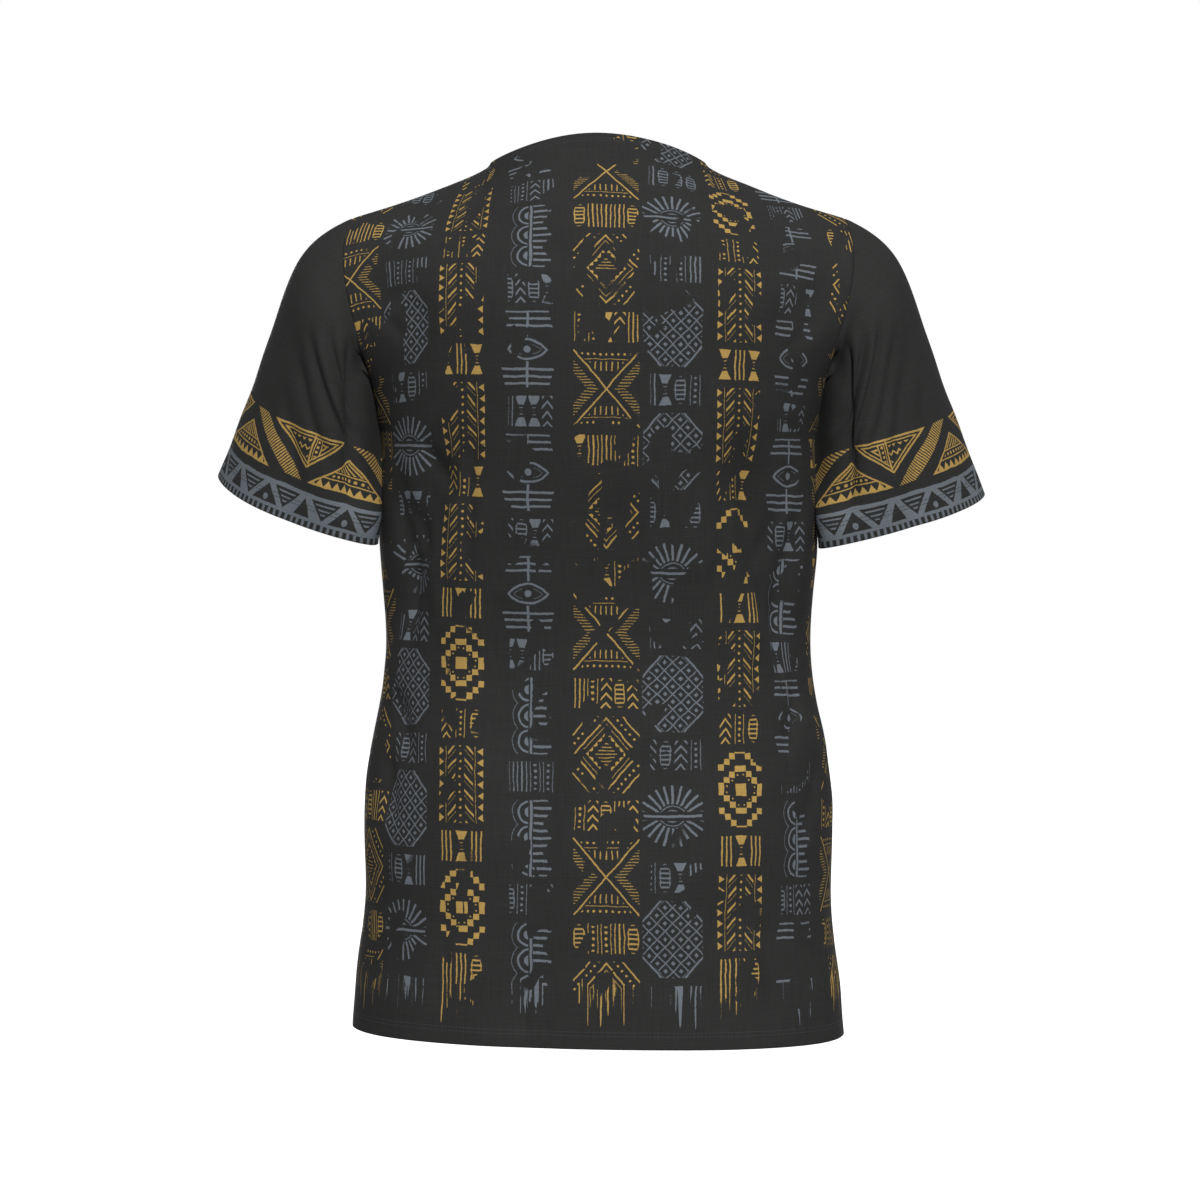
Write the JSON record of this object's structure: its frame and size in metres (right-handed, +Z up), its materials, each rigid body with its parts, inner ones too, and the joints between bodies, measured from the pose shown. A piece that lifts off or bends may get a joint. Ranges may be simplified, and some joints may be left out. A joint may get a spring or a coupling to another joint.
{
  "type": "dashiki shirt, short sleeved, of tee cut, worn form",
  "caption": "Short-sleeved round-neck shirt in dashiki print, filled out as worn, open at neck, cuffs, hem and side vents.",
  "frame": {"origin": "half way between the two points where the shoulder seams meet the neckline, where the wearer's shoulders carry the shirt", "axes": "+Z up, +X to the wearer's left, +Y to the wearer's back"},
  "size_m": [0.6098, 0.2761, 0.6982],
  "materials": {
    "body_cloth": "matt cotton with an even, fine weave, near-black ground printed in gold and slate grey",
    "sleeve_cloth": "the same cloth, plain near-black above a gold and slate border at the cuff"
  },
  "bodies": {
    "root": {"back": "body_cloth", "front": "body_cloth", "sleeve_left": "sleeve_cloth", "sleeve_right": "sleeve_cloth"}
  },
  "joints": []
}
